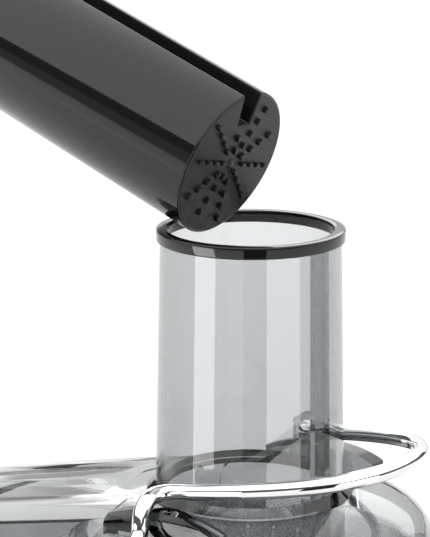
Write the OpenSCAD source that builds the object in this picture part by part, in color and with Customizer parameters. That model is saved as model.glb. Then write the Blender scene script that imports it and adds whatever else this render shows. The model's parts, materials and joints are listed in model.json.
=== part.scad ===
// Centrifugal juicer with a wide feed chute, a pusher leaning on its mouth and a wire locking arm.
// +Z is up, the basket and the chute turn about X = Y = 0, and the juice spout faces -Y.

/* [Chute and pusher] */
// Outside radius of the chute tube just under its ring
chute_r = 41.8; // [40:0.2:43]
// Thickness of the chute wall
chute_wall = 2.8; // [2.2:0.2:3.4]
// Outside radius of the gloss ring on the chute mouth
ring_r = 43.5; // [43.5:0.1:45]
// Height of the ring
ring_h = 5.6; // [4.5:0.1:7]
// Radius of the pusher
pusher_r = 36; // [34:0.5:36]
// Length of the pusher below its cap
pusher_len = 176; // [150:2:190]
// Angle the pusher leans back from upright, degrees
pusher_tilt = 68.5; // [60:0.5:72]

/* [Locking arm] */
// Radius of the arm's round rod
rod_r = 3.9; // [3:0.1:4]
// Half width of the bow where it crosses the lid
bow_w = 56.3; // [55:0.1:58]
// Length of the bow in front of the legs
bow_l = 92; // [86:1:96]
// Rise of the bow toward the front, per millimetre
bow_rise = 0.17; // [0.14:0.01:0.2]

/* [Body] */
// Radius of the motor housing at its foot
base_r = 92; // [90:1:93]
// Radius of the motor housing at its top
base_top_r = 87; // [84:1:87]
// Wall of the motor housing
base_wall = 3; // [2:0.5:4]
// Radius of the control knob
knob_r = 21; // [16:1:24]
// Half width of the pulp container
pulp_w = 56; // [50:1:57]

/* [Hidden] */
$fn = 96;
ring_z = 424;
lid_top = 300;
axle_y = -12;
saddle_y = 8;
axle_z = 176;
leg_x = 96;
knob_turn = 40;
knob_z = 104;
bowl_r = 84;
deck_z = 200;
grip = 0.3;
tip = 14.2;
off = pusher_r + grip;
lean_y = ring_r - 5.26;

// A rectangle with round corners, centred
module rrect(w, h, r) {
  square([w - 2 * r, h], center = true);
  square([w, h - 2 * r], center = true);
  for (x = [-1, 1]) {
    for (y = [-1, 1]) {
      translate([x * (w / 2 - r), y * (h / 2 - r)]) circle(r);
    }
  }
}

// A ring standing on its lower face
module tube(ro, ri, z0, z1) {
  translate([0, 0, z0]) {
    difference() {
      cylinder(r = ro, h = z1 - z0);
      translate([0, 0, -1]) cylinder(r = ri, h = z1 - z0 + 2);
    }
  }
}

// A disc about X between two distances from the middle plane
module xdisc(x0, x1, y, z, r) {
  translate([x0, y, z]) rotate([0, 90, 0]) cylinder(r = r, h = x1 - x0);
}

// Points a knob piece out through the wall, from a distance down the knob's axis
module at_knob(y) {
  rotate(knob_turn) translate([0, y, knob_z]) rotate([90, 0, 0]) children();
}

// Places a pusher piece, drawn upright on its end face, leaning on the chute's back rim
module leaned() {
  translate([0, lean_y, ring_z]) {
    rotate([-pusher_tilt, 0, 0]) translate([0, -off, -tip]) children();
  }
}

// ---- base ----
module housing_skin(d) {
  translate([0, 0, 12]) cylinder(r1 = base_r + d, r2 = base_top_r + d, h = 180);
}

module motor_housing() {
  color("#3b3e42")
  difference() {
    union() {
      housing_skin(0);
      // flat bosses for the arm's axle
      xdisc(-90.4, 90.4, axle_y, axle_z, 13);
    }
    difference() {
      translate([0, 0, 11]) cylinder(r1 = base_r - base_wall, r2 = base_top_r - base_wall, h = 178);
      xdisc(-91, -78, axle_y, axle_z, 13);
      xdisc(78, 91, axle_y, axle_z, 13);
    }
    // mouth for the shaft and the deck
    translate([0, 0, 180]) cylinder(r = 70, h = 20);
    // holes for the arm's pins
    xdisc(-95, 95, axle_y, axle_z, 5.05);
    // hole for the knob spindle
    at_knob(-80) cylinder(r = 5, h = 20);
    // hole for the cord inlet
    translate([-62, 68, 36]) rotate([90, 0, 42]) cylinder(r = 7.05, h = 30, center = true);
  }
}

module steel_band() {
  color("#c3c6c9")
  difference() {
    translate([0, 0, 52]) {
      cylinder(r1 = base_r - 1.111 + 0.8, r2 = base_top_r + 1.889 + 0.8, h = 72);
    }
    housing_skin(0);
    at_knob(-80) cylinder(r = 16, h = 20);
  }
}

module top_deck() {
  color("#2c2e31")
  difference() {
    union() {
      tube(86.6, 20, 192, deck_z);
      tube(69.9, 62, 181, 193);
      tube(23.4, 16, 192, 206);
      // posts the motor hangs from
      for (a = [45 : 90 : 315]) {
        rotate(a) translate([46, 0, 148.2]) cylinder(r = 5, h = 45);
      }
    }
    tube(90, 84.6, 198, 202);
  }
}

module base_plate() {
  color("#2c2e31")
  difference() {
    union() {
      translate([0, 0, 8]) cylinder(r = base_r - 0.4, h = 4);
      translate([0, 129, 8]) linear_extrude(4) rrect(106, 138, 14);
      tube(base_r - base_wall - 0.8, base_r - base_wall - 3, 11, 20);
      for (a = [45 : 90 : 315]) {
        rotate(a) translate([52, 0, 11]) cylinder(r = 6, h = 39);
      }
    }
    // cooling slots
    for (x = [-30 : 10 : 30]) {
      translate([x - 2, -24, 4]) cube([4, 48, 10]);
    }
    // sockets for the ring foot and the back feet
    tube(77.05, 72.95, 4, 10);
    for (x = [-38, 38]) {
      translate([x, 176, 4]) cylinder(r = 7.05, h = 6);
    }
  }
}

module pulp_rest() {
  color("#2c2e31")
  difference() {
    union() {
      translate([0, 146, 12]) linear_extrude(8) rrect(112, 108, 14);
    }
    // round recess that hugs the housing
    translate([0, 0, 10]) cylinder(r = base_r + 0.05, h = 20);
    translate([-60, 80, 10]) cube([120, 12, 20]);
    // lightening pocket under the shelf
    translate([0, 140, 11]) linear_extrude(5) rrect(56, 44, 8);
  }
}

module foot(x, y, z) {
  color("#1b1c1e") {
    translate([x, y, 0]) cylinder(r = 11, h = z);
    translate([x, y, z - 0.5]) cylinder(r = 7, h = 2.5);
  }
}

module foot_ring() {
  color("#1b1c1e") {
    tube(80, 70, 0, 8);
    tube(77, 73, 7.5, 10);
  }
}

module foot_back_left() { foot(-38, 176, 8); }
module foot_back_right() { foot(38, 176, 8); }

// ---- motor ----
module motor_stator() {
  color("#8d8f92") {
    difference() {
      translate([0, 0, 72]) linear_extrude(50) rrect(96, 84, 14);
      translate([0, 0, 70]) cylinder(r = 28, h = 60);
      for (x = [-1, 1]) {
        translate([x * 36, 0, 96]) cube([9, 40, 60], center = true);
      }
    }
  }
  color("#b06a35") {
    for (x = [-1, 1]) {
      translate([x * 36, 0, 97]) cube([8.6, 39.6, 68], center = true);
    }
  }
}

module bracket(z, bearing_r) {
  difference() {
    union() {
      translate([0, 0, z]) linear_extrude(5) rrect(92, 76, 12);
      tube(bearing_r + 4, bearing_r - 1, z, z + 9);
    }
    translate([0, 0, z - 1]) cylinder(r = bearing_r, h = 12);
    for (x = [-1, 1]) {
      translate([x * 28, 0, z - 1]) cylinder(r = 8, h = 12);
    }
  }
}

module motor_top_bracket() {
  color("#9fa2a5") {
    bracket(143, 11);
    for (x = [-40, 40]) {
      for (y = [-32, 32]) {
        translate([x, y, 122.05]) cylinder(r = 4, h = 21.05);
      }
    }
  }
}

module motor_low_bracket() {
  color("#9fa2a5") {
    bracket(50, 11);
    for (x = [-40, 40]) {
      for (y = [-32, 32]) {
        translate([x, y, 54.9]) cylinder(r = 4, h = 17.05);
      }
    }
  }
}

module bearing(z) {
  color("#b9bcc0")
  tube(11, 5, z, z + 9);
}

module upper_bearing() { bearing(143); }
module lower_bearing() { bearing(50); }

module brush(s) {
  color("#a9803f")
  difference() {
    translate([s * 33, 0, 137]) cube([32, 10, 10], center = true);
    translate([0, 0, 120]) cylinder(r = 17.3, h = 30);
  }
}

module brush_left() { brush(-1); }
module brush_right() { brush(1); }

module motor_shaft() {
  color("#c9ccd0") {
    translate([0, 0, 22]) cylinder(r = 4.95, h = 186);
  }
}

module motor_rotor() {
  color("#7c7e82")
  difference() {
    tube(27.3, 4.95, 73, 121);
    for (a = [0 : 30 : 330]) {
      rotate(a) translate([26.6, -1.2, 72]) cube([3, 2.4, 50]);
    }
  }
}

module commutator() {
  color("#b06a35")
  tube(17, 4.95, 127, 141);
}

module cooling_fan() {
  color("#e4e2dc") {
    tube(9, 4.95, 26, 42);
    tube(40, 8.5, 39, 41);
    for (a = [0 : 36 : 324]) {
      rotate(a) translate([8, -1, 28]) cube([31, 2, 12]);
    }
  }
}

module shaft_seal() {
  color("#1b1c1e")
  tube(16, 5.3, 199, 205);
}

module drive_coupling() {
  color("#d9d9d6") {
    difference() {
      translate([0, 0, 207]) cylinder(r = 12, h = 15);
      translate([0, 0, 206]) cylinder(r = 4.95, h = 2);
    }
    for (a = [0 : 60 : 300]) {
      rotate(a) translate([11, -2, 213]) cube([3, 4, 9]);
    }
  }
}

module cord_inlet() {
  color("#1b1c1e")
  translate([-62, 68, 36]) rotate([90, 0, 222]) {
    difference() {
      union() {
        translate([0, 0, -10]) cylinder(r = 7, h = 14);
        translate([0, 0, -9.5]) cylinder(r = 9, h = 4.7);
        translate([0, 0, 0.6]) cylinder(r = 9.6, h = 3);
      }
      translate([0, 0, -12]) cylinder(r = 3.4, h = 20);
    }
  }
}

module switch_body() {
  color("#4a4c50")
  difference() {
    at_knob(-60) {
      translate([-14, -12, 0]) cube([28, 24, 20]);
      translate([0, 0, 19]) cylinder(r = 8, h = 6.5);
      for (x = [-9, 0, 9]) {
        translate([x - 1, -8, -2.2]) cube([2, 6, 3.2]);
      }
    }
    at_knob(-79) cylinder(r = 4.95, h = 10);
  }
}

module interlock_switch() {
  color("#4a4c50") {
    translate([-81, axle_y - 10, axle_z - 30]) cube([13, 20, 14]);
    translate([-76, axle_y - 6, axle_z - 16.5]) cube([2, 12, 6]);
  }
}

// ---- bowl and lid ----
module juice_bowl() {
  color("#9aa1a6", 0.8)
  difference() {
    union() {
      // wall and floor, sloping to the spout
      rotate_extrude() {
        polygon([
          [24, 200.3], [70, 200.3], [80, 204], [84, 214], [84, 258], [81.4, 258],
          [81.4, 215], [78, 207], [69, 203], [26.5, 203], [26.5, 214], [24, 214]
        ]);
      }
      tube(bowl_r + 1.8, bowl_r - 0.5, 246, 249);
      // spout
      translate([0, -78, 213]) rotate([90, 0, 0]) cylinder(r = 11, h = 34);
    }
    translate([0, -70, 213]) rotate([90, 0, 0]) cylinder(r = 8, h = 50);
  }
}

module drip_spout() {
  color("#1f2023")
  difference() {
    union() {
      translate([0, -104, 213]) rotate([90, 0, 0]) cylinder(r = 14, h = 24);
      translate([0, -119, 213]) rotate([180, 0, 0]) cylinder(r1 = 9, r2 = 8, h = 25);
      translate([0, -128, 213]) rotate([0, 0, 0]) cylinder(r = 3, h = 20);
    }
    translate([0, -100, 213]) rotate([90, 0, 0]) cylinder(r = 11.06, h = 25);
    translate([0, -119, 213]) rotate([180, 0, 0]) cylinder(r = 6.4, h = 30);
  }
}

module lid_seal() {
  color("#d7d9da")
  tube(83.6, 80.2, 258, 261);
}

// Solid of the dome's outside, or of its inside when d is the wall
module dome_solid(d) {
  rotate_extrude() {
    polygon([
      [0, 254 - d], [87 - d, 254 - d], [87 - d, 268], [86.4 - d, 277], [85 - d, 282.5 - d * 0.4],
      [81 - d * 0.8, 287.5 - d * 0.7], [76 - d * 0.3, 290.6 - d], [69, 293.6 - d],
      [60, 296.4 - d], [50, 298.8 - d], [43, 300.2 - d], [0, 300.2 - d]
    ]);
  }
}

// Solid of the pulp duct behind the dome
module duct_solid(d) {
  difference() {
    intersection() {
      translate([-60 + d, 0, 0]) rotate([90, 0, 90]) linear_extrude(120 - 2 * d) {
        polygon([
          [40, 256 - 2 * d], [202 - d, 256 - 2 * d], [202 - d, 260.5 - d], [196 - d, 265.5 - d],
          [186 - d, 268.5 - d], [70, 295.4 - d], [40, 297 - d]
        ]);
      }
      // crown of the roof, a wide arch that falls toward the back
      translate([0, 70, 295.4 - d]) rotate([-103, 0, 0]) {
        translate([0, 190, -120]) cylinder(r = 190, h = 400);
      }
      translate([0, 102, 230]) linear_extrude(100) rrect(120 - 2 * d, 200 - 2 * d, 24 - d);
    }
    translate([0, 0, 230]) cylinder(r = 30, h = 100);
  }
}

// A hump beside the arm, hollowed where the rod rests and where it swings past
module hump() {
  difference() {
    intersection() {
      translate([60.5, 0, 232]) rotate([0, 90, 0]) cylinder(r = 74, h = 9.8);
      translate([50, -30, 288]) cube([40, 62, 30]);
    }
    translate([0, axle_y, axle_z]) rotate([0, 90, 0]) {
      rotate_extrude() {
        polygon([
          [131.6, 56], [131.4, 65], [130.2, 67.4], [128.2, 69.4], [126, 70.6], [120, 70.6],
          [120, 80], [140, 80], [140, 56]
        ]);
      }
    }
  }
}

module juicer_lid() {
  color("#8b9298", 0.6)
  difference() {
    union() {
      difference() {
        union() {
          dome_solid(0);
          duct_solid(0);
          // fillet at the foot of the chute
          translate([0, 0, 299.5]) cylinder(r1 = 48.5, r2 = 44.4, h = 4.5);
          hump();
          mirror([1, 0, 0]) hump();
          // grip lug beside the far leg
          translate([77, 11.4, 284]) intersection() {
            cube([5, 13, 34]);
            translate([0, 2, 14]) rotate([0, 90, 0]) cylinder(r = 16, h = 5);
          }
        }
        dome_solid(2.6);
        duct_solid(2.6);
        translate([0, 0, 250]) cylinder(r = 84.3, h = 18);
        // the duct stands clear above the pulp container
        translate([0, 150, 244]) cube([200, 140, 27.4], center = true);
      }
      // sill that bridges the bowl and the pulp container
      difference() {
        translate([-57.5, 60, 258]) cube([115, 38, 2.4]);
        translate([0, 0, 250]) cylinder(r = 84.3, h = 18);
      }
      // step that presses the seal
      difference() {
        tube(84.6, 79.4, 261, 264);
        translate([-57, 40, 255]) cube([114, 60, 20]);
      }
      // chute, running down inside to the grating disc
      translate([0, 0, 236]) cylinder(r1 = chute_r + 3.8, r2 = chute_r, h = ring_z - 236 - 1.4);
    }
    translate([0, 0, 230]) cylinder(r1 = chute_r - chute_wall + 3.2, r2 = chute_r - chute_wall, h = 200);
  }
  // key rib that steers the pusher
  color("#8b9298", 0.6)
  translate([-3, 0, 0]) rotate([90, 0, 90]) linear_extrude(6) {
    polygon([
      [-chute_r - 2, 237], [-chute_r + 5.9, 237], [-chute_r + 7.8, ring_z - ring_h - 0.05],
      [-chute_r + 1, ring_z - ring_h - 0.05]
    ]);
  }
}

module chute_ring() {
  color("#101113")
  difference() {
    translate([0, 0, ring_z - ring_h]) cylinder(r = ring_r, h = ring_h);
    translate([0, 0, ring_z - ring_h - 1]) cylinder(r = lean_y, h = ring_h + 2);
    // groove that clips over the tube
    tube(chute_r + 0.12, chute_r - chute_wall - 0.02, ring_z - ring_h - 1, ring_z - 1.4);
  }
}

// ---- spinning basket ----
module filter_basket() {
  color("#c9ccd0") {
    difference() {
      rotate_extrude() {
        polygon([
          [46, 224], [48, 224], [77.4, 266.4], [78.6, 267.4], [78.6, 269], [76.4, 269], [46, 226.4]
        ]);
      }
      // sieve slots
      for (a = [0 : 12 : 348]) {
        rotate(a) translate([60, 0, 243]) rotate([0, -54, 0]) cube([34, 1.6, 30], center = true);
      }
    }
    // floor and hub
    difference() {
      translate([0, 0, 223.6]) cylinder(r = 47.6, h = 1.6);
      translate([0, 0, 220]) cylinder(r = 14, h = 10);
    }
    tube(21, 14.2, 214.5, 225);
  }
}

module grating_disc() {
  color("#b4b7bb") {
    translate([0, 0, 225.2]) cylinder(r = 44, h = 1.2);
    translate([0, 0, 222.1]) cylinder(r = 13.6, h = 4);
    for (a = [0 : 30 : 330]) {
      for (k = [0 : 4]) {
        rotate(a + k * 7) translate([16 + k * 6, -0.6, 226.2]) cube([2.4, 1.2, 1.3]);
      }
    }
  }
}

// ---- locking arm ----
// The rod runs up one leg, over the lid's shoulder, round the bow and down the other leg
bow_z = 311;
lean = (saddle_y - axle_y) / (bow_z - axle_z);
leg_pts = [
  [leg_x, 262], [leg_x, 267], [leg_x, 272], [95.4, 277], [93.4, 281.6], [90, 285.6], [85, 290],
  [79.6, 294], [76.6, 297.6], [75.4, 301.6], [73.8, 305.4], [70.6, 308.6], [67.4, 310.4],
  [bow_w + 8, bow_z], [bow_w + 5, bow_z]
];
function between(p, i, t) = 0.5 * (2 * p[i] + (p[i + 1] - p[i - 1]) * t
  + (2 * p[i - 1] - 5 * p[i] + 4 * p[i + 1] - p[i + 2]) * t * t
  + (3 * p[i] - p[i - 1] - 3 * p[i + 1] + p[i + 2]) * t * t * t);
function back(q) = [q[0], axle_y + lean * (q[1] - axle_z), q[1]];
leg_path = concat(
  [back([leg_x, axle_z])],
  [for (i = [1 : len(leg_pts) - 3]) for (t = [0, 0.5]) back(between(leg_pts, i, t))],
  [for (a = [0 : 18 : 72])
    [bow_w + 8 - 8 * sin(a), saddle_y - 8 + 8 * cos(a), bow_z + bow_rise * 8 * (1 - cos(a))]]
);
bow_path = [for (t = [3.3 : 4.4 : 88])
  [bow_w * pow(cos(t), 0.855), saddle_y - bow_l * pow(sin(t), 0.855),
    bow_z + bow_rise * bow_l * pow(sin(t), 0.855)]];
half_path = concat(leg_path, bow_path);
function other(p) = [for (i = [len(p) - 1 : -1 : 0]) [-p[i][0], p[i][1], p[i][2]]];
rod_path = concat(half_path, other(half_path));

function unit(v) = v / norm(v);
function carry(dirs, i, u) = i == len(dirs) ? [] :
  let (v = unit(u - (u * dirs[i]) * dirs[i])) concat([v], carry(dirs, i + 1, v));

// A round rod along a list of points
module bent_rod(path, r, sides) {
  n = len(path);
  dirs = [for (i = [0 : n - 1]) unit(path[min(i + 1, n - 1)] - path[max(i - 1, 0)])];
  us = carry(dirs, 0, [0, 1, 0]);
  pts = [for (i = [0 : n - 1]) for (k = [0 : sides - 1])
    path[i] + r * (cos(360 * k / sides) * us[i] + sin(360 * k / sides) * cross(dirs[i], us[i]))];
  skin = [for (i = [0 : n - 2]) for (k = [0 : sides - 1]) for (h = [0, 1])
    h == 0
      ? [i * sides + k, (i + 1) * sides + k, (i + 1) * sides + (k + 1) % sides]
      : [i * sides + k, (i + 1) * sides + (k + 1) % sides, i * sides + (k + 1) % sides]];
  ends = [
    [for (k = [0 : sides - 1]) k],
    [for (k = [sides - 1 : -1 : 0]) (n - 1) * sides + k]
  ];
  polyhedron(points = pts, faces = concat(skin, ends));
}

module locking_arm() {
  color("#dfe1e3")
  bent_rod(rod_path, rod_r, 18);
}

module arm_hub(s) {
  color("#2a2c2f")
  difference() {
    union() {
      xdisc(s > 0 ? 90.7 : -102.2, s > 0 ? 102.2 : -90.7, axle_y, axle_z, 14);
      xdisc(s > 0 ? 80 : -92, s > 0 ? 92 : -80, axle_y, axle_z, 5);
      xdisc(s > 0 ? 77 : -80.5, s > 0 ? 80.5 : -77, axle_y, axle_z, 3.6);
      translate([s * leg_x, axle_y, axle_z]) rotate([-atan(lean), 0, 0]) cylinder(r = 5.2, h = 24);
    }
    translate([s * leg_x, axle_y, axle_z]) rotate([-atan(lean), 0, 0]) cylinder(r = rod_r, h = 40);
  }
}

module arm_hub_left() { arm_hub(-1); }
module arm_hub_right() { arm_hub(1); }

// ---- control ----
module control_knob() {
  color("#c3c6c9")
  at_knob(-91.4) {
    cylinder(r = knob_r, h = 16);
    translate([0, 0, 15.6]) cylinder(r1 = knob_r, r2 = knob_r - 2, h = 2.4);
    translate([-2.5, 3 - knob_r, 15]) cube([5, 2 * knob_r - 6, 5.6]);
  }
}

module knob_spindle() {
  color("#d9d9d6")
  difference() {
    at_knob(-80.3) cylinder(r = 4.9, h = 11.1);
    at_knob(-84) translate([3.5, -6, 0]) cube([3, 12, 6]);
  }
}

// ---- pulp container ----
module pulp_container() {
  color("#4a4d51", 0.85)
  difference() {
    union() {
      translate([0, 147, 20.4]) linear_extrude(233) rrect(2 * pulp_w, 102, 20);
      translate([0, 147, 247]) linear_extrude(6.4) rrect(2 * pulp_w + 4, 105, 22);
      // grip on the back
      translate([-20, 197, 205]) cube([40, 12, 8]);
    }
    translate([0, 147, 23]) linear_extrude(240) rrect(2 * pulp_w - 5, 97, 17.5);
  }
}

// ---- pusher ----
module slot_cut(w, d, z0, z1) {
  translate([-w / 2, -pusher_r - 4, z0]) cube([w, d + 4, z1 - z0]);
}

module pusher_body() {
  color("#141518")
  leaned() {
    difference() {
      cylinder(r = pusher_r, h = pusher_len);
      difference() {
        translate([0, 0, -1]) cylinder(r = pusher_r - 2.4, h = pusher_len + 2);
        slot_cut(13.6, 18.7, -2, pusher_len + 2);
      }
      slot_cut(9.2, 16.5, -2, pusher_len - 10);
    }
  }
}

module pusher_plate() {
  color("#232427")
  leaned() {
    difference() {
      translate([0, 0, 1.4]) cylinder(r = pusher_r - 2.45, h = 3);
      slot_cut(13.7, 18.75, 0, 6);
    }
    // ten rows of grip teeth
    for (i = [0 : 9]) {
      for (k = [0 : 3]) {
        rr = 7.4 + k * 6.2 + (i % 2) * 2.4;
        if (i != 0 || k < 1) {
          rotate(i * 36 - 90) translate([rr, -0.8, -1.2]) cube([2.6, 1.6, 2.9]);
        }
      }
    }
    translate([0, 0, 0.6]) cylinder(r = 2.4, h = 1);
  }
}

module pusher_cap() {
  color("#141518")
  leaned() {
    difference() {
      union() {
        translate([0, 0, pusher_len]) cylinder(r = 45, h = 6);
        translate([0, 0, pusher_len + 6]) cylinder(r1 = 45, r2 = 42, h = 4);
        translate([0, 0, pusher_len + 10]) cylinder(r1 = 37, r2 = 35, h = 12);
        translate([0, 0, pusher_len - 8]) cylinder(r = pusher_r - 2.45, h = 9);
      }
      slot_cut(13.7, 18.75, pusher_len - 9, pusher_len);
      translate([0, 0, pusher_len - 9]) cylinder(r = pusher_r - 21, h = 28);
    }
  }
}

motor_housing();
steel_band();
top_deck();
base_plate();
pulp_rest();
foot_ring();
foot_back_left();
foot_back_right();
motor_stator();
motor_top_bracket();
motor_low_bracket();
upper_bearing();
lower_bearing();
brush_left();
brush_right();
shaft_seal();
cord_inlet();
switch_body();
interlock_switch();
juice_bowl();
lid_seal();
juicer_lid();
chute_ring();
motor_rotor();
commutator();
motor_shaft();
cooling_fan();
drive_coupling();
filter_basket();
grating_disc();
locking_arm();
arm_hub_left();
arm_hub_right();
control_knob();
knob_spindle();
drip_spout();
pulp_container();
pusher_body();
pusher_plate();
pusher_cap();
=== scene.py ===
import json
import math
import bmesh
import bpy
from mathutils import Matrix, Vector


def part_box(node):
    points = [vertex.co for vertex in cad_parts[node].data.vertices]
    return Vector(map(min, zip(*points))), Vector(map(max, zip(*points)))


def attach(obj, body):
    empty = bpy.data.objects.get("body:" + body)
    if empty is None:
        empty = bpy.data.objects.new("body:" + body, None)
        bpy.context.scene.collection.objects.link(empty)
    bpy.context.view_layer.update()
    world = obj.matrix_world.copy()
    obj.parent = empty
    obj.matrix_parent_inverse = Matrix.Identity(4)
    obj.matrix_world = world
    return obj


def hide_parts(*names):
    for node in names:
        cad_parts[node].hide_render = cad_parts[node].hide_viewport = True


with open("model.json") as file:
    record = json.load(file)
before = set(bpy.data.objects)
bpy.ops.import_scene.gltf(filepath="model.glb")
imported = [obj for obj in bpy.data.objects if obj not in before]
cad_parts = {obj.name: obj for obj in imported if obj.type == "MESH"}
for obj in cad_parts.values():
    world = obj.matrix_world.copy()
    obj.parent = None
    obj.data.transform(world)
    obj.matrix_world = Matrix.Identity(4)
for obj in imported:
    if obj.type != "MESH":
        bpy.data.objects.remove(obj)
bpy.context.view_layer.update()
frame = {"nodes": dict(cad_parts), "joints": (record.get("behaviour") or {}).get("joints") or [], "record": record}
nodes = frame["nodes"]
scene = bpy.context.scene
mm = 0.001
# points nearer than weld are one point, and places nearer than slack count as level
weld = 1e-6
slack = 1e-5


class Wire:
    # a socket that takes part in sums, so shader maths reads as sums
    def __init__(self, tree, socket):
        self.tree = tree
        self.socket = socket

    def sum(self, kind, other, swap=False):
        node = self.tree.nodes.new("ShaderNodeMath")
        node.operation = kind
        pair = (other, self) if swap else (self, other)
        for place, value in zip(node.inputs, pair):
            plug(self.tree, place, value)
        return Wire(self.tree, node.outputs[0])

    def __add__(self, other):
        return self.sum("ADD", other)

    def __radd__(self, other):
        return self.sum("ADD", other, True)

    def __mul__(self, other):
        return self.sum("MULTIPLY", other)

    def __rmul__(self, other):
        return self.sum("MULTIPLY", other, True)


def plug(tree, place, value):
    # a wire is linked, anything else is set
    if isinstance(value, Wire):
        tree.links.new(value.socket, place)
    else:
        place.default_value = value


class Finish:
    # one procedural material round a Principled shader
    def __init__(self, name, color, fixed=None):
        self.material = bpy.data.materials.new(name)
        self.material.use_nodes = True
        self.tree = self.material.node_tree
        self.shader = self.tree.nodes["Principled BSDF"]
        self.color = color
        self.shader.inputs["Base Color"].default_value = (*color, 1)
        for socket, value in (fixed or {}).items():
            self.shader.inputs[socket].default_value = value

    def node(self, kind, values, out=0, settings=None):
        # any node, its inputs given by socket name or number
        made = self.tree.nodes.new("ShaderNode" + kind)
        for key, value in (settings or {}).items():
            setattr(made, key, value)
        for key, value in values.items():
            plug(self.tree, made.inputs[key], value)
        return Wire(self.tree, made.outputs[out])

    def noise(self, size, stretch=(1, 1, 1), detail=3.0):
        # noise with grains of a real size, in metres
        place = self.node("TexCoord", {}, out="Object")
        spot = self.node("Mapping", {"Vector": place, "Scale": stretch})
        return self.node("TexNoise", {"Vector": spot, "Scale": 1 / size, "Detail": detail})

    def feed(self, socket, wire):
        self.tree.links.new(wire.socket, self.shader.inputs[socket])

    def tint(self, mask, low, high):
        # the colour runs from low to high times the finish's own colour
        dark = (*[c * low for c in self.color], 1)
        light = (*[min(1, c * high) for c in self.color], 1)
        # sockets 6 and 7 and output 2 are the mix node's two colours and its colour result
        mixed = self.node("Mix", {0: mask, 6: dark, 7: light}, out=2, settings={"data_type": "RGBA"})
        self.feed("Base Color", mixed)

    def bump(self, height, depth, strength=1.0):
        self.feed("Normal", self.node("Bump", {"Height": height, "Distance": depth, "Strength": strength}))


def moulded(name, color, rough, grain=0.6 * mm, depth=0.01 * mm, shade=0.08, fixed=None):
    # injection-moulded plastic: fine spark grain, faint mottling and slow gloss changes
    made = Finish(name, color, fixed)
    fine = made.noise(grain, detail=4)
    slow = made.noise(60 * mm, detail=2)
    made.tint(fine * 0.5 + slow * 0.5, 1 - shade, 1 + shade)
    made.feed("Roughness", rough * 0.8 + slow * (rough * 0.4))
    made.bump(fine, depth)
    return made


def metal(name, color, rough, size, stretch=(1, 1, 1), depth=0.002 * mm, shade=0.06):
    # metal with drawn or ground lines where stretch is uneven
    made = Finish(name, color, {"Metallic": 1.0})
    lines = made.noise(size, stretch, detail=4)
    slow = made.noise(45 * mm)
    made.tint(lines * 0.6 + slow * 0.4, 1 - shade, 1 + shade)
    made.feed("Roughness", rough * 0.7 + lines * (rough * 0.6))
    made.bump(lines, depth)
    return made


def clear(name, color, rough, density):
    # see-through plastic: polished, darker where it is thicker, with slow flow waves from moulding
    made = Finish(name, (0.97, 0.975, 0.98), {"Transmission Weight": 1.0, "IOR": 1.49})
    smoke = made.node("VolumeAbsorption", {"Color": (*color, 1), "Density": density})
    made.tree.links.new(smoke.socket, made.tree.nodes["Material Output"].inputs["Volume"])
    flow = made.noise(38 * mm, (1, 1, 0.35), detail=1.5)
    fine = made.noise(1.2 * mm, detail=2)
    made.tint(flow, 0.98, 1.02)
    made.feed("Roughness", rough + fine * (rough * 0.8))
    made.bump(flow, 0.05 * mm, 0.5)
    return made


finishes = {
    "smoke_clear": clear("smokeClear", (0.30, 0.325, 0.335), 0.012, 180),
    "gloss_black": moulded("glossBlack", (0.006, 0.006, 0.0065), 0.07, 9 * mm, 0.003 * mm),
    "dark_grey_plate": moulded("plateGrey", (0.010, 0.0102, 0.0110), 0.42, 0.5 * mm, 0.015 * mm,
        fixed={"Specular IOR Level": 0.3}),
    "arm_chrome": metal("armChrome", (0.80, 0.805, 0.81), 0.035, 20 * mm, depth=0.003 * mm, shade=0.02),
    "housing_plastic": moulded("housingGrey", (0.045, 0.048, 0.052), 0.32, 0.45 * mm, 0.02 * mm),
    "band_steel": metal("bandSteel", (0.50, 0.51, 0.52), 0.34, 14 * mm, (1, 1, 60), 0.006 * mm, 0.14),
    "bowl_plastic": clear("bowlSmoke", (0.30, 0.33, 0.35), 0.05, 260),
    "pulp_plastic": clear("pulpSmoke", (0.28, 0.30, 0.32), 0.08, 700),
    "sieve_steel": metal("sieveSteel", (0.66, 0.67, 0.68), 0.26, 1.5 * mm, depth=0.03 * mm),
    "foot_rubber": moulded("footRubber", (0.02, 0.02, 0.021), 0.75, 0.4 * mm, 0.04 * mm),
    "seal_rubber": moulded("sealRubber", (0.50, 0.51, 0.52), 0.55, 0.5 * mm, 0.02 * mm),
    "lamination_steel": metal("laminations", (0.36, 0.36, 0.37), 0.45, 1.2 * mm, (1, 1, 8), 0.03 * mm),
    "bracket_alloy": metal("bracketAlloy", (0.58, 0.59, 0.60), 0.5, 0.9 * mm, depth=0.05 * mm),
    "bearing_steel": metal("bearingSteel", (0.66, 0.67, 0.68), 0.2, 2 * mm),
    "shaft_steel": metal("shaftSteel", (0.64, 0.65, 0.66), 0.18, 3 * mm, (1, 1, 12)),
    "copper": metal("copperWire", (0.72, 0.36, 0.18), 0.34, 0.8 * mm, (12, 1, 1), 0.05 * mm),
    "brush_holder": metal("brushBrass", (0.68, 0.50, 0.24), 0.32, 2 * mm),
    "white_nylon": moulded("whiteNylon", (0.74, 0.73, 0.70), 0.42, 0.8 * mm, 0.015 * mm, 0.04),
    "switch_plastic": moulded("switchGrey", (0.07, 0.073, 0.078), 0.46, 0.6 * mm, 0.02 * mm),
    "knob_silver": metal("knobSilver", (0.40, 0.41, 0.42), 0.28, 10 * mm, (1, 1, 30), 0.005 * mm),
}
record = frame["record"]
slotOf = {row["node"]: row["material_slot"] for row in record["subparts"]}
bodyOf = {name: body for body, names in record["behaviour"]["bodies"].items() for name in names}
for name, thing in nodes.items():
    thing.data.materials.clear()
    thing.data.materials.append(finishes[slotOf[name]].material)
print("finishes ready:", len(finishes))

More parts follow.
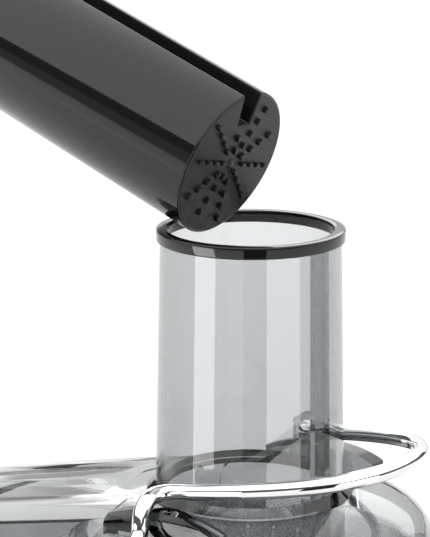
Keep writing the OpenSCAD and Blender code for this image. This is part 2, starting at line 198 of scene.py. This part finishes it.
# angles in degrees: faces that meet at less than smooth are shaded as one, at more than
# hard are eased, and at less than flat are merged
folds = {"smooth": 32, "hard": 38, "flat": 1.5}


def linked(name, data):
    # a new object at the origin, in the scene
    thing = bpy.data.objects.new(name, data)
    scene.collection.objects.link(thing)
    return thing


def meshFrom(shape, name):
    # a mesh from a bmesh, which it frees
    mesh = bpy.data.meshes.new(name)
    shape.to_mesh(mesh)
    shape.free()
    return mesh


def foldedEdges(shape, degrees):
    # edges where two faces meet at more than an angle
    return [e for e in shape.edges
        if len(e.link_faces) == 2 and e.calc_face_angle(0) > math.radians(degrees)]


def ease(shape, geom, offset, rounds, affect="EDGES"):
    # rounds off the given edges, or the corners of a flat outline
    bmesh.ops.bevel(shape, geom=geom, offset=offset, segments=rounds, profile=0.5, affect=affect,
        clamp_overlap=True, material=-1)


def pieceFrom(shape, name, node):
    # turns a bmesh into the piece that stands for a CAD node, riding where it rides
    for face in shape.faces:
        face.smooth = True
    for edge in shape.edges:
        edge.smooth = len(edge.link_faces) == 2
    for edge in foldedEdges(shape, folds["smooth"]):
        edge.smooth = False
    mesh = meshFrom(shape, name)
    if "custom_normal" in mesh.attributes:
        mesh.attributes.remove(mesh.attributes["custom_normal"])
    piece = linked(name, mesh)
    mesh.materials.clear()
    mesh.materials.append(finishes[slotOf[node]].material)
    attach(piece, bodyOf[node])
    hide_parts(node)
    return piece


def spun(profile, steps, soften, rounds):
    # a closed profile in the XZ plane, its corners rounded, turned all the way round Z
    shape = bmesh.new()
    shape.faces.new([shape.verts.new((x, 0, z)) for x, z in profile])
    ease(shape, shape.verts[:], soften, rounds, "VERTICES")
    bmesh.ops.delete(shape, geom=shape.faces[:], context="FACES_ONLY")
    bmesh.ops.spin(shape, geom=shape.verts[:] + shape.edges[:], cent=(0, 0, 0), axis=(0, 0, 1),
        angle=math.tau, steps=steps, use_merge=True)
    bmesh.ops.remove_doubles(shape, verts=shape.verts, dist=weld)
    bmesh.ops.recalc_face_normals(shape, faces=shape.faces)
    return shape


def polished(node, name, edge):
    # a merged copy of a CAD node, with its hard edges eased where edge is not 0
    shape = bmesh.new()
    shape.from_mesh(nodes[node].data)
    bmesh.ops.remove_doubles(shape, verts=shape.verts, dist=2 * weld)
    if edge:
        bmesh.ops.dissolve_limit(shape, angle_limit=math.radians(folds["flat"]), verts=shape.verts,
            edges=shape.edges)
        ease(shape, foldedEdges(shape, folds["hard"]), edge, 2)
    return pieceFrom(shape, name, node)


ring = {"corner": 0.7 * mm, "rounds": 3, "steps": 192}
ringLow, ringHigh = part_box("chute_ring")
ringTop = ringHigh.z
# the pusher leans on the ring's inner edge, which is where its joint is
ringIn = record["behaviour"]["joints"][-1]["pos_m"][1]
profile = [(ringIn, ringLow.z), (ringHigh.x, ringLow.z), (ringHigh.x, ringTop), (ringIn, ringTop)]
pieceFrom(spun(profile, ring["steps"], ring["corner"], ring["rounds"]), "chuteRing", "chute_ring")

# each casing's CAD node, its piece and how far its edges are eased
casings = {
    "juicer_lid": ("lidShell", 0),
    "juice_bowl": ("bowlShell", 0),
    "pulp_container": ("pulpBin", 0),
    "filter_basket": ("sieveBasket", 0),
    "motor_housing": ("housingShell", 0),
    "steel_band": ("bandSleeve", 0),
    "top_deck": ("deckPlate", 0),
    "base_plate": ("basePan", 0),
    "pulp_rest": ("binRest", 0),
    "drip_spout": ("dripSpout", 0),
    "control_knob": ("speedKnob", 0.5 * mm),
    "pusher_cap": ("pusherFlange", 0.8 * mm),
    "arm_hub_left": ("armHubLeft", 0),
    "arm_hub_right": ("armHubRight", 0),
}
for node, (name, edge) in casings.items():
    polished(node, name, edge)
print("casings ready:", len(casings))

push = {
    "radius": 36 * mm, "length": 176 * mm, "steps": 160, "edge": 0.5 * mm, "rounds": 3, "hard": 50,
    # the key slot narrows from its mouth to its bottom
    "slotMouth": 12.9 * mm, "slotWidth": 9.2 * mm, "slotDepth": 16.5 * mm,
    # how it leans on the ring, in degrees, how far its end is past the ring, and its play there
    "lean": 68.5, "tip": 14.2 * mm, "grip": 0.3 * mm,
}
slotBottom = push["slotDepth"] - push["radius"]
lean = (Matrix.Translation((0, ringIn, ringTop)) @ Matrix.Rotation(math.radians(-push["lean"]), 4, "X")
    @ Matrix.Translation((0, -push["radius"] - push["grip"], -push["tip"])))


def cutAcross(shape, place, across):
    # adds edges where a plane crosses the shape
    bmesh.ops.bisect_plane(shape, geom=shape.verts[:] + shape.edges[:] + shape.faces[:],
        plane_co=place, plane_no=across)


def slottedFace(radius, mouth, bottom, z):
    # one flat face that looks down: a disc with the key slot cut in from -Y
    shape = bmesh.new()
    bmesh.ops.create_circle(shape, cap_ends=True, radius=radius, segments=push["steps"])
    cutAcross(shape, (-mouth / 2, 0, 0), (1, 0, 0))
    cutAcross(shape, (mouth / 2, 0, 0), (1, 0, 0))
    cutAcross(shape, (0, bottom, 0), (0, 1, 0))
    middles = [(f, f.calc_center_median()) for f in shape.faces]
    gone = [f for f, middle in middles if abs(middle.x) < mouth / 2 - slack and middle.y < bottom]
    bmesh.ops.delete(shape, geom=gone, context="FACES")
    bmesh.ops.dissolve_faces(shape, faces=shape.faces[:])
    bmesh.ops.dissolve_limit(shape, angle_limit=0.002, verts=shape.verts, edges=shape.edges)
    for v in shape.verts:
        if abs(v.co.y - bottom) < slack and abs(v.co.x) < mouth:
            v.co.x *= push["slotWidth"] / push["slotMouth"]
    bmesh.ops.translate(shape, verts=shape.verts, vec=(0, 0, z))
    for face in shape.faces:
        if face.normal.z > 0:
            face.normal_flip()
    return shape


shape = slottedFace(push["radius"], push["slotMouth"], slotBottom, 0)
sides = bmesh.ops.extrude_edge_only(shape, edges=shape.edges[:])["geom"]
moved = [g for g in sides if isinstance(g, bmesh.types.BMVert)]
bmesh.ops.translate(shape, verts=moved, vec=(0, 0, push["length"]))
farEnd = [g for g in sides if isinstance(g, bmesh.types.BMEdge) and all(v in moved for v in g.verts)]
bmesh.ops.contextual_create(shape, geom=farEnd)
bmesh.ops.recalc_face_normals(shape, faces=shape.faces)
ease(shape, foldedEdges(shape, push["hard"]), push["edge"], push["rounds"])
shape.transform(lean)
pieceFrom(shape, "pusherBarrel", "pusher_body")

plate = {
    # the slab stands in by rim, keeps gap clear of the slot, and is proud of the pusher's end
    "rim": 1.3 * mm, "gap": 0.3 * mm, "proud": 0.25 * mm, "thick": 2 * mm,
    # rows of grip teeth, the odd ones starting further out, and the slot's own row cut short
    "rows": 10, "turn": -97, "first": (7.0 * mm, 9.8 * mm), "step": 6.5 * mm, "most": 32.5 * mm,
    "slotRow": 15 * mm,
    "toothLong": 3.2 * mm, "toothWide": 2.0 * mm, "toothHigh": 2.0 * mm, "sunk": 0.4 * mm,
    "toothTip": (0.95, 0.85, 1), "toothEdge": 0.1 * mm,
    "dimple": 2.6 * mm, "dimpleFlat": 0.25,
}
face = -plate["proud"]
shape = slottedFace(push["radius"] - plate["rim"], push["slotMouth"] + plate["gap"],
    slotBottom + plate["gap"], face)
slab = bmesh.ops.extrude_face_region(shape, geom=shape.faces[:])["geom"]
bmesh.ops.translate(shape, verts=[g for g in slab if isinstance(g, bmesh.types.BMVert)],
    vec=(0, 0, plate["thick"]))
bmesh.ops.recalc_face_normals(shape, faces=shape.faces)
slabFaces = len(shape.faces)
toothSize = Matrix.Diagonal((plate["toothLong"], plate["toothWide"], plate["toothHigh"], 1))
toothMiddle = face - plate["toothHigh"] / 2 + plate["sunk"]
for row in range(plate["rows"]):
    turned = Matrix.Rotation(math.radians(360 / plate["rows"] * row + plate["turn"]), 4, "Z")
    most = plate["most"] if row else plate["slotRow"]
    reach = plate["first"][row % 2]
    while reach < most:
        spot = turned @ Matrix.Translation((reach, 0, toothMiddle)) @ toothSize
        tooth = bmesh.ops.create_cube(shape, size=1, matrix=spot)["verts"]
        tips = sorted(tooth, key=lambda v: v.co.z)[:4]
        middle = sum((v.co for v in tips), Vector()) / len(tips)
        bmesh.ops.scale(shape, verts=tips, vec=plate["toothTip"], space=Matrix.Translation(-middle))
        ease(shape, list({e for v in tooth for e in v.link_edges}), plate["toothEdge"], 2)
        reach += plate["step"]
bmesh.ops.create_uvsphere(shape, u_segments=32, v_segments=16, radius=plate["dimple"],
    matrix=Matrix.Translation((0, 0, face)) @ Matrix.Diagonal((1, 1, plate["dimpleFlat"], 1)))
shape.faces.ensure_lookup_table()
for added in shape.faces[slabFaces:]:
    added.material_index = 1
shape.transform(lean)
piece = pieceFrom(shape, "pusherPlate", "pusher_plate")
teeth = moulded("toothBlack", (0.002, 0.002, 0.002), 0.6, fixed={"Specular IOR Level": 0.08})
piece.data.materials.append(teeth.material)
print("pusher ready")

# the arm's path is in millimetres: up one leg, round the corner onto the bow, and its mirror
arm = {
    "rod": 3.88 * mm, "sides": 12, "between": 6,
    "saddle": 8, "corner": 8, "cornerTurns": (22.5, 45, 67.5),
    "bowHalf": 56.3, "bowLong": 92, "bowHeight": 311, "rise": 0.17, "power": 0.855,
    "bowStart": 3.3, "bowStep": 4.4, "bowPoints": 20,
    "leg": [(96, 176), (96, 200), (96, 240), (96, 262), (96, 267), (96, 272), (95.4, 277),
        (93.4, 281.6), (90, 285.6), (85, 290), (79.6, 294), (76.6, 297.6), (75.4, 301.6),
        (73.8, 305.4), (70.6, 308.6), (67.4, 310.4), (64.3, 311)],
}
pivot = [j for j in frame["joints"] if j["name"] == "arm_swing"][0]["pos_m"]
pivotY, pivotZ = pivot[1] / mm, pivot[2] / mm
backLean = (arm["saddle"] - pivotY) / (arm["bowHeight"] - pivotZ)


def bowPoint(x, ahead):
    # a place on the bow's plane, which rises towards the front
    return Vector((x, arm["saddle"] - ahead, arm["bowHeight"] + arm["rise"] * ahead))


half = [Vector((x, pivotY + backLean * (z - pivotZ), z)) for x, z in arm["leg"]]
for degrees in arm["cornerTurns"]:
    turn = math.radians(degrees)
    half.append(bowPoint(arm["bowHalf"] + arm["corner"] * (1 - math.sin(turn)),
        arm["corner"] * (1 - math.cos(turn))))
for step in range(arm["bowPoints"]):
    t = math.radians(arm["bowStart"] + step * arm["bowStep"])
    half.append(bowPoint(arm["bowHalf"] * math.cos(t) ** arm["power"],
        arm["bowLong"] * math.sin(t) ** arm["power"]))
path = half + [Vector((-p.x, p.y, p.z)) for p in reversed(half)]
curve = bpy.data.curves.new("armPath", "CURVE")
curve.dimensions = "3D"
curve.bevel_depth = arm["rod"]
curve.bevel_resolution = arm["sides"]
curve.resolution_u = arm["between"]
curve.use_fill_caps = True
line = curve.splines.new("BEZIER")
line.bezier_points.add(len(path) - 1)
for spot, p in zip(line.bezier_points, path):
    spot.co = p * mm
    spot.handle_left_type = spot.handle_right_type = "AUTO"
rod = linked("armRod", curve)
bpy.context.view_layer.update()
shape = bmesh.new()
shape.from_mesh(rod.evaluated_get(bpy.context.evaluated_depsgraph_get()).to_mesh())
bpy.data.objects.remove(rod)
bmesh.ops.remove_doubles(shape, verts=shape.verts, dist=weld)
bmesh.ops.recalc_face_normals(shape, faces=shape.faces)
pieceFrom(shape, "armWire", "locking_arm")
print("arm ready")

studio = {"floor": 60, "tiles": 8, "white": 0.92, "sky": 0.12}
shape = bmesh.new()
bmesh.ops.create_grid(shape, x_segments=studio["tiles"], y_segments=studio["tiles"],
    size=studio["floor"] / 2)
floor = linked("floor", meshFrom(shape, "floor"))
paper = Finish("paperFloor", (studio["white"],) * 3, {"Roughness": 0.9})
paper.tint(paper.noise(0.4, detail=2), 0.99, 1.01)
floor.data.materials.append(paper.material)
scene.world = bpy.data.worlds.new("studio")
scene.world.use_nodes = True
sky = scene.world.node_tree.nodes["Background"].inputs
sky["Color"].default_value = (1, 1, 1, 1)
sky["Strength"].default_value = studio["sky"]

# level directions from the chute to the camera, and to the camera's right
toCamera = Vector((-0.8090, -0.5878, 0))
toRight = Vector((0.5878, -0.8090, 0))


def around(degrees, distance, height):
    # a place at an angle from the camera's side, to its right when positive
    a = math.radians(degrees)
    flat = (toCamera * math.cos(a) + toRight * math.sin(a)) * distance
    return (flat.x, flat.y, height)


def onlyGloss(thing):
    # seen in reflections alone, as a studio's cards and flags are
    thing.visible_camera = thing.visible_diffuse = False
    thing.visible_transmission = thing.visible_volume_scatter = False


def softbox(name, place, target, size, glow, gloss, pieces=()):
    # glow is how bright its face looks; with gloss it is only reflected, and else never
    light = bpy.data.lights.new(name, "AREA")
    light.shape = "RECTANGLE"
    light.size, light.size_y = size
    light.energy = glow * math.pi * light.size * light.size_y
    lamp = linked(name, light)
    lamp.location = place
    lamp.rotation_euler = (Vector(target) - Vector(place)).to_track_quat("-Z", "Y").to_euler()
    lamp.visible_camera = False
    if gloss:
        onlyGloss(lamp)
    else:
        lamp.visible_glossy = False
    if pieces:
        # it shines on these pieces alone
        group = bpy.data.collections.new(name + "Pieces")
        for piece in pieces:
            group.objects.link(bpy.data.objects[piece])
        lamp.light_linking.receiver_collection = group


# near cards stand close round the chute, and their light falls on the pieces they are named for
near = {"distance": 0.72, "height": 0.2}
clearPieces = ("lidShell", "armWire", "bowlShell")


def nearCard(name, degrees, size, glow, pieces):
    softbox(name, around(degrees, near["distance"], near["height"]), (0, 0, near["height"]), size,
        glow, gloss=True, pieces=pieces)


softbox("ceiling", place=(0, 0, 7), target=(0, 0, 0), size=(46, 46), glow=1.15, gloss=False)
softbox("canopy", place=(1.5, 0, 2.9), target=(1.5, 0, 0), size=(14, 14), glow=1.7, gloss=True)
nearCard("leftCard", degrees=-58, size=(0.36, 0.40), glow=5.5, pieces=(*clearPieces, "chuteRing"))
softbox("backPanel", place=around(172, 4.5, 1.7), target=(0, 0, 0.4), size=(6, 2.6), glow=1.0,
    gloss=True)
nearCard("rightCard", degrees=40, size=(0.56, 0.40), glow=3.4, pieces=clearPieces)
# strips one inside another, so the pusher's lower half has a soft-edged sheen: height and glow
strips = {"rows": ((0.70, 0.25), (0.58, 0.3), (0.46, 0.3), (0.34, 0.35), (0.22, 0.4), (0.10, 0.4)),
    "length": 5, "place": (-1.4, 0.9, 0.40), "target": (0, 0.9, 0.40)}
for count, (height, glow) in enumerate(strips["rows"], 1):
    softbox(f"strip{count}", strips["place"], strips["target"], (strips["length"], height), glow,
        gloss=True, pieces=("pusherBarrel", "pusherFlange"))
softbox("sideLight", place=around(-75, 2.2, 1.5), target=(0, 0, 0.3), size=(1.2, 1.2), glow=2.0,
    gloss=False)

# a black card that keeps a strip of the studio out of the reflections
flag = {"degrees": 4, "width": 0.34, "height": 0.42}
velvet = Finish("velvetCard", (0.004, 0.004, 0.004), {"Roughness": 1.0})
velvet.tint(velvet.noise(3 * mm), 0.8, 1.2)
shape = bmesh.new()
bmesh.ops.create_grid(shape, x_segments=1, y_segments=1, size=0.5)
spot = Vector(around(flag["degrees"], near["distance"], flag["height"] / 2))
facing = (Vector((0, 0, spot.z)) - spot).to_track_quat("Z", "Y").to_matrix().to_4x4()
shape.transform(Matrix.Translation(spot) @ facing
    @ Matrix.Diagonal((flag["width"], flag["height"], 1, 1)))
card = linked("middleFlag", meshFrom(shape, "middleFlag"))
card.data.materials.append(velvet.material)
card.visible_shadow = False
onlyGloss(card)
print("studio ready")

# the camera's place is measured from the middle of the ring's top
lens = {"away": Vector((-0.8058, -0.5652, 0.2105)), "down": 13.145, "turn": -54, "length": 147.5,
    "farthest": 200}
camera = linked("camera", bpy.data.cameras.new("camera"))
camera.location = Vector((0, 0, ringTop)) + lens["away"]
camera.rotation_euler = (math.radians(90 - lens["down"]), 0, math.radians(lens["turn"]))
camera.data.lens = lens["length"]
camera.data.clip_end = lens["farthest"]
scene.camera = camera
scene.view_settings.view_transform = "Standard"

print("pieces placed")
